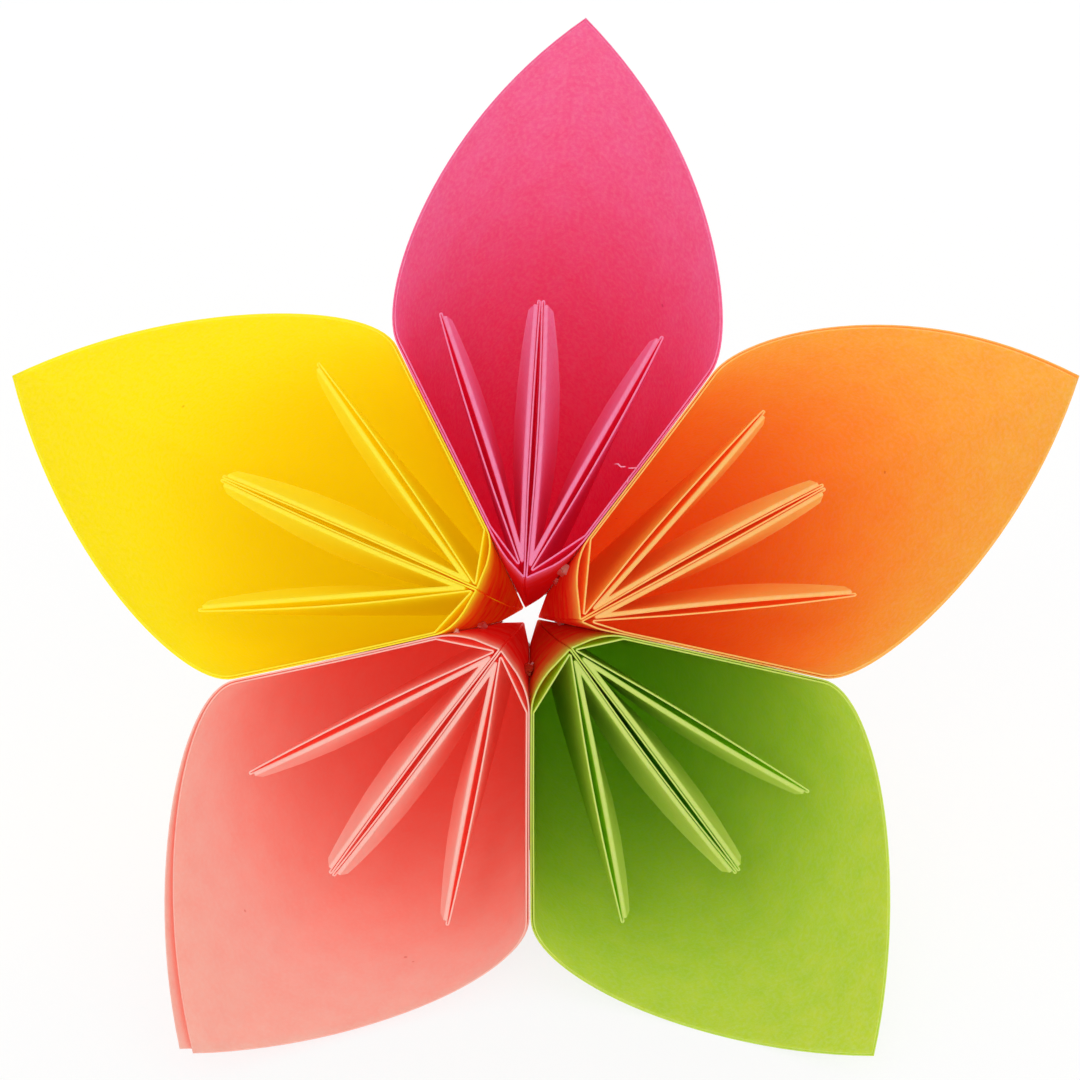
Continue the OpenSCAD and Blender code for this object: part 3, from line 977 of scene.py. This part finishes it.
@dataclass(frozen=True)
class GlueFinish:
    """Dried white craft glue: glossy, milky where it trapped air, tinted by what it wetted; the stained
    finish's dark red-brown is also painted shade along the joints.
    """

    slot: str
    name: str
    clear: str
    milky: str
    clearness: float
    bubble_mm: float = 0.15
    bump_mm: float = 0.03
    bump_strength: float = 0.4
    roughness: float = 0.24
    ior: float = 1.47

    def material(self) -> bpy.types.Material:
        """Returns the glue's material."""
        material, make = blank_material(self.name)
        place = make.add("ShaderNodeTexCoord").outputs["Object"]
        bubbles = make.add(
            "ShaderNodeTexNoise",
            {"Vector": place, "Scale": 1 / (self.bubble_mm * MM), "Detail": 2.0},
        ).outputs["Fac"]
        links = {"Factor": bubbles, "A": linear(self.clear), "B": linear(self.milky)}
        tint = make.add("ShaderNodeMix", links, data_type="RGBA").outputs["Result"]
        bump = make.add(
            "ShaderNodeBump",
            {"Height": bubbles, "Strength": self.bump_strength, "Distance": self.bump_mm * MM},
        )
        film = make.add(
            "ShaderNodeBsdfPrincipled",
            {
                "Base Color": tint,
                "Normal": bump.outputs["Normal"],
                "Roughness": self.roughness,
                "Transmission Weight": self.clearness,
                "IOR": self.ior,
            },
        )
        make.add("ShaderNodeOutputMaterial", {"Surface": film.outputs["BSDF"]})
        return material


@dataclass(frozen=True)
class GlueDrop:
    """A drop of glue that dried where two petals' walls come together, in millimetres."""

    after: int
    reach: float
    length: float
    width: float
    depth: float
    seed: float


@dataclass
class GlueTraces:
    """The dried glue that shows at the flower's centre, and two hairs of torn paper on a rim."""

    frame: FlowerFrame
    paper: Paper
    parting: float = 0.13
    sunk: float = 0.6
    lump: float = 0.45
    lump_wave: float = 0.9
    seam_reach: tuple[float, float] = (1.9, 5.6)
    seam_r: float = 0.07
    seam_n: int = 24
    hair_r: float = 0.045
    ring_n: int = 8
    solve_n: int = 8

    def joint_way(self, after: int) -> tuple[Vector, Vector]:
        """Returns the directions out along a joint and across it, about the upright axis."""
        a = math.radians(self.frame.crown.joint_after(after))
        return Vector((math.sin(a), math.cos(a), 0)), Vector((math.cos(a), -math.sin(a), 0))

    def seat(self, reach: float, width: float) -> float:
        """Returns the height at which two walls are so far apart, at a distance from the axis.

        Args:
            reach: Distance from the flower's axis.
            width: Distance between the walls, which part as the square of the way from their joint.

        Returns:
            The height above the petals' points.
        """
        joint = self.frame.crown.joint_start * self.paper.side / 100
        share = reach / joint
        for _ in range(self.solve_n):
            share = reach / (joint - math.sqrt(width / (2 * self.parting * share)))
        return self.paper.half * share

    def drop(self, drop: GlueDrop, finish: GlueFinish) -> bpy.types.Object:
        """Returns a lumpy drop, seated between the two walls."""
        out, across = self.joint_way(drop.after)
        middle = out * drop.reach + Vector((0, 0, self.seat(drop.reach, self.sunk * drop.width)))
        along = middle.normalized()
        bm = bmesh.new()
        bmesh.ops.create_icosphere(bm, subdivisions=4, radius=1)
        for vert in bm.verts:
            shift = noise.noise_vector(vert.co / self.lump_wave + Vector((drop.seed, 0, 0)))
            ball = vert.co + shift * self.lump
            flat = along * ball.x * drop.length + across * ball.y * drop.width
            thick = along.cross(across) * ball.z * drop.depth
            vert.co = self.frame.lying(middle + (flat + thick) / 2)
        return self.piece(bm, "glue_drop_%d_%d" % (drop.after, round(10 * drop.reach)), finish)

    def seam(self, after: int, finish: GlueFinish) -> bpy.types.Object:
        """Returns the thread of glue that was squeezed out along the inner end of a joint."""
        low, high = self.seam_reach
        reaches = [low + (high - low) * k / self.seam_n for k in range(self.seam_n + 1)]
        route = []
        for reach in reaches:
            sway = noise.noise(Vector((after, reach / self.lump_wave, 0))) * self.seam_r
            route.append(Vector((sway, reach, self.seat(reach, self.seam_r))))
        return self.hair("glue_seam_%d" % after, after, route, self.seam_r, finish)

    def hair(
        self,
        name: str,
        after: int,
        route: Line,
        radius: float,
        finish: GlueFinish | PaperFinish,
    ) -> bpy.types.Object:
        """Sweeps a hair along points given across a joint, out from the axis and up.

        Args:
            name: The piece's name.
            after: The petal before the joint.
            route: Points of the hair, in millimetres.
            radius: Radius of the hair at its middle.
            finish: The hair's finish.

        Returns:
            The hair, thin at both ends.
        """
        out, across = self.joint_way(after)
        points = [across * p.x + out * p.y + Vector((0, 0, p.z)) for p in route]
        bm = bmesh.new()
        ring = bmesh.ops.create_circle(bm, segments=self.ring_n, radius=radius)["verts"]
        first = ring
        turn = (points[1] - points[0]).to_track_quat("Z", "Y").to_matrix().to_4x4()
        bmesh.ops.transform(bm, matrix=Matrix.Translation(points[0]) @ turn, verts=ring)
        edges = bm.edges[:]
        for a, b in zip(points, points[1:]):
            ring, edges = extruded(bm, edges)
            bmesh.ops.translate(bm, verts=ring, vec=b - a)
        for end, point in ((first, points[0]), (ring, points[-1])):
            bmesh.ops.pointmerge(bm, verts=end, merge_co=point)
        bmesh.ops.recalc_face_normals(bm, faces=bm.faces)
        # The hair is painted pale all over: torn fibres with a painted highlight.
        wear_and_highlight = bm.verts.layers.float.new("crease")
        for vert in bm.verts:
            vert.co = self.frame.lying(vert.co)
            vert[wear_and_highlight] = 1.0
        return self.piece(bm, name, finish)

    def piece(
        self, bm: bmesh.types.BMesh, name: str, finish: GlueFinish | PaperFinish
    ) -> bpy.types.Object:
        """Returns the object of a finished mesh, with its material and body."""
        for face in bm.faces:
            face.smooth = True
        trace = object_of(bm, name)
        trace.data.materials.append(finish.material())
        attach(trace, "root")
        return trace


@dataclass(frozen=True)
class Lamp:
    """A square soft lamp, in metres and watts."""

    name: str
    place: tuple[float, float, float]
    size: float
    power: float


@dataclass
class Studio:
    """A pale floor that curves up into a backdrop, soft lamps and the camera."""

    frame: FlowerFrame
    lamps: tuple[Lamp, ...]
    floor_colour: str = "#f8f8f7"
    whiteness: float = 0.85
    surround: float = 0.9
    bounces: int = 12
    plies: int = 6
    half_width: float = 1.6
    depth: float = 1.4
    backdrop_lean: float = 0.1
    cove: float = 0.5
    cove_n: int = 16
    lamp_aim: tuple[float, float, float] = (0.0, 0.0, 0.03)
    nearest: float = 0.01
    axis_px: tuple[float, float] = (529.0, 616.0)
    px_mm: float = 0.0665
    section_mm: float = 45.0
    distance_mm: float = 290.0

    def floor(self) -> None:
        """Builds the floor and backdrop in one sheet."""
        bm = bmesh.new()
        ends = [bm.verts.new((-self.half_width, y, 0)) for y in (-self.depth, self.depth)]
        bm.edges.new(ends)
        far, _ = extruded(bm, bm.edges[:])
        bmesh.ops.translate(bm, verts=far, vec=(2 * self.half_width, 0, 0))
        bm.edges.ensure_lookup_table()
        behind = [e for e in bm.edges if all(v.co.y > 0 for v in e.verts)]
        risen, _ = extruded(bm, behind)
        bmesh.ops.translate(bm, verts=risen, vec=(0, self.backdrop_lean, self.depth))
        bmesh.ops.bevel(
            bm,
            geom=behind,
            offset=self.cove,
            offset_type="OFFSET",
            segments=self.cove_n,
            profile=0.5,
            affect="EDGES",
            material=-1,
        )
        for face in bm.faces:
            face.smooth = True
        bmesh.ops.recalc_face_normals(bm, faces=bm.faces)
        floor = object_of(bm, "floor")
        floor.data.materials.append(self.floor_material())

    def floor_material(self) -> bpy.types.Material:
        """Returns a matte white board that looks near white and keeps the flower's shadow."""
        material, make = blank_material("studio_board")
        board = make.add("ShaderNodeBsdfDiffuse", {"Color": linear(self.floor_colour)})
        white = make.add("ShaderNodeEmission", {"Strength": 1.0})
        lift = make.add("ShaderNodeMath", {0: self.seen(make), 1: self.whiteness}, operation="MULTIPLY")
        both = make.add(
            "ShaderNodeMixShader",
            {0: lift.outputs["Value"], 1: board.outputs["BSDF"], 2: white.outputs["Emission"]},
        )
        make.add("ShaderNodeOutputMaterial", {"Surface": both.outputs["Shader"]})
        return material

    def seen(self, make: NodeBuilder) -> Socket:
        """Returns 1 where the camera sees a surface, straight or by gloss or glass, and else 0."""
        path = make.add("ShaderNodeLightPath").outputs
        total = path["Is Camera Ray"]
        for other in ("Is Glossy Ray", "Is Transmission Ray"):
            links = {0: total, 1: path[other]}
            total = make.add("ShaderNodeMath", links, operation="ADD", use_clamp=True).outputs["Value"]
        return total

    def light(self) -> None:
        """Sets an even pale surround, the lamps, and how often light is passed on."""
        world = bpy.data.worlds.new("studio")
        world.use_nodes = True
        world.node_tree.nodes.clear()
        make = NodeBuilder(world.node_tree)
        links = {"Value": self.seen(make), "To Min": self.surround, "To Max": 1.0}
        level = make.add("ShaderNodeMapRange", links).outputs["Result"]
        pale = make.add("ShaderNodeBackground", {"Strength": level})
        make.add("ShaderNodeOutputWorld", {"Surface": pale.outputs["Background"]})
        bpy.context.scene.world = world
        for lamp in self.lamps:
            self.hang(lamp)
        paths = bpy.context.scene.cycles
        paths.max_bounces = self.bounces
        paths.diffuse_bounces = self.bounces
        paths.transmission_bounces = self.bounces
        paths.transparent_max_bounces = self.plies

    def hang(self, lamp: Lamp) -> None:
        """Adds a lamp that faces the flower."""
        data = bpy.data.lights.new(lamp.name, "AREA")
        data.size = lamp.size
        data.energy = lamp.power
        hung = linked(lamp.name, data)
        hung.location = lamp.place
        way = Vector(self.lamp_aim) - Vector(lamp.place)
        hung.rotation_euler = way.to_track_quat("-Z", "Y").to_euler()

    def camera(self) -> None:
        """Sets the camera on the flower's axis, aimed at the middle of the picture."""
        data = bpy.data.cameras.new("camera")
        data.sensor_fit = "HORIZONTAL"
        data.clip_start = self.nearest
        data.angle = 2 * math.atan(PHOTO_PX * self.px_mm / 2 / self.distance_mm)
        camera = linked("camera", data)
        middle = PHOTO_PX / 2
        aim = Vector(
            (
                (middle - self.axis_px[0]) * self.px_mm,
                (self.axis_px[1] - middle) * self.px_mm,
                self.section_mm,
            )
        )
        eye = self.frame.lying(Vector((0, 0, self.section_mm + self.distance_mm)))
        camera.location = eye
        camera.rotation_euler = (self.frame.lying(aim) - eye).to_track_quat("-Z", "Y").to_euler()
        bpy.context.scene.camera = camera


LAMPS = (
    Lamp("key", (-0.12, -0.66, 0.5), 0.4, 1.2),
    Lamp("fill", (0.42, -0.62, 0.4), 0.6, 0.5),
    Lamp("back", (0.1, 0.55, 0.4), 0.6, 2.1),
)
FORMS = (
    PetalForm("petal_pink", 0, 2.7, -0.6, (-23, -2, 24), apex_right=-0.35),
    PetalForm(
        "petal_orange", 1, 3.4, 1.7, (-28, -8, 15), apex_right=0.35, tip_lean=-3, inner_shift=0.2
    ),
    PetalForm("petal_green", 2, 3.8, -0.8, (-20, 2, 28), apex_right=-0.35, tip_lean=1),
    PetalForm("petal_salmon", 3, 3.4, 0.1, (-28, -2, 25), inner_shift=-0.9),
    PetalForm("petal_yellow", 4, 4.4, 0.0, (-30, -2, 29), apex_right=0.35, tip_lean=-1),
)
FINISHES = (
    PaperFinish("paper_pink", "#f87ab8", "#ffc8de", "#ff3068", "#f65890", "#a81e4c", 0.04),
    PaperFinish("paper_orange", "#ffd64a", "#ffeabc", "#ff803c", "#ffb634", "#a8501a", 0.045),
    PaperFinish("paper_green", "#e8f24c", "#f0f8bc", "#b0e814", "#c0e634", "#4a701a", 0.0),
    PaperFinish("paper_salmon", "#ffd7c6", "#ffece4", "#ff7464", "#ffb6a6", "#b0584c", 0.055),
    PaperFinish("paper_yellow", "#fffa0c", "#fff678", "#ffe800", "#fff600", "#b98a10", 0.06),
)
MILKY_GLUE = GlueFinish("dried_glue", "dried_glue_milky", "#fff4e0", "#ffffff", 0.2)
# Dark red-brown glue: its own tint, and painted shade along the joints and seams at the centre.
STAINED_AND_SHADED_GLUE = GlueFinish("dried_glue", "dried_glue_stained_and_shaded", "#b4502c", "#e09468", 0.3)
DROPS = (
    (GlueDrop(0, 3.9, 4.0, 0.75, 0.7, 1.0), MILKY_GLUE),
    (GlueDrop(0, 3.1, 1.6, 0.45, 0.4, 2.0), MILKY_GLUE),
    (GlueDrop(1, 2.3, 1.6, 0.5, 0.45, 3.0), MILKY_GLUE),
    (GlueDrop(2, 3.6, 6.0, 0.8, 0.6, 4.0), STAINED_AND_SHADED_GLUE),
    (GlueDrop(3, 3.3, 4.0, 0.6, 0.5, 5.0), MILKY_GLUE),
    (GlueDrop(3, 5.0, 1.6, 0.4, 0.35, 6.0), MILKY_GLUE),
)
TORN_HAIRS = {
    "torn_hair_long": [
        Vector((0.0, 12.1, 44.45)),
        Vector((-0.25, 12.15, 44.9)),
        Vector((-0.6, 11.85, 45.2)),
        Vector((-0.85, 11.8, 45.05)),
        Vector((-1.1, 11.6, 44.95)),
        Vector((-1.35, 11.65, 44.9)),
        Vector((-1.6, 11.45, 44.95)),
    ],
    "torn_hair_short": [
        Vector((0.0, 10.9, 44.6)),
        Vector((-0.2, 11.2, 44.9)),
        Vector((-0.3, 11.5, 44.9)),
    ],
}


def main() -> None:
    """Builds the flower and its studio."""
    logging.basicConfig(level=logging.INFO, format="%(message)s")
    noise.seed_set(NOISE_SEED)
    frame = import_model()
    mount = frame["record"]["mounts"][0]
    crown = Crown()
    flower = FlowerFrame(Vector(mount["pos_m"]), Vector(mount["axis"]).normalized(), crown)
    paper = Paper()
    bpy.context.scene.view_settings.view_transform = "Standard"
    studio = Studio(flower, LAMPS)
    studio.camera()
    studio.floor()
    studio.light()
    for form, finish in zip(FORMS, FINISHES):
        petal = PaperPetal(form, finish, paper, flower).build()
        LOG.info("%s: %d faces in the sheet", petal.name, len(petal.data.polygons))
    traces = GlueTraces(flower, paper)
    for drop, finish in DROPS:
        LOG.info("%s", traces.drop(drop, finish).name)
    for form in FORMS:
        LOG.info("%s", traces.seam(form.index, STAINED_AND_SHADED_GLUE).name)
    for name, route in TORN_HAIRS.items():
        LOG.info("%s", traces.hair(name, 0, route, traces.hair_r, FINISHES[0]).name)
    for slot in frame["nodes"]["glue_films"].material_slots:
        slot.material = STAINED_AND_SHADED_GLUE.material()


if __name__ == "__main__":
    main()
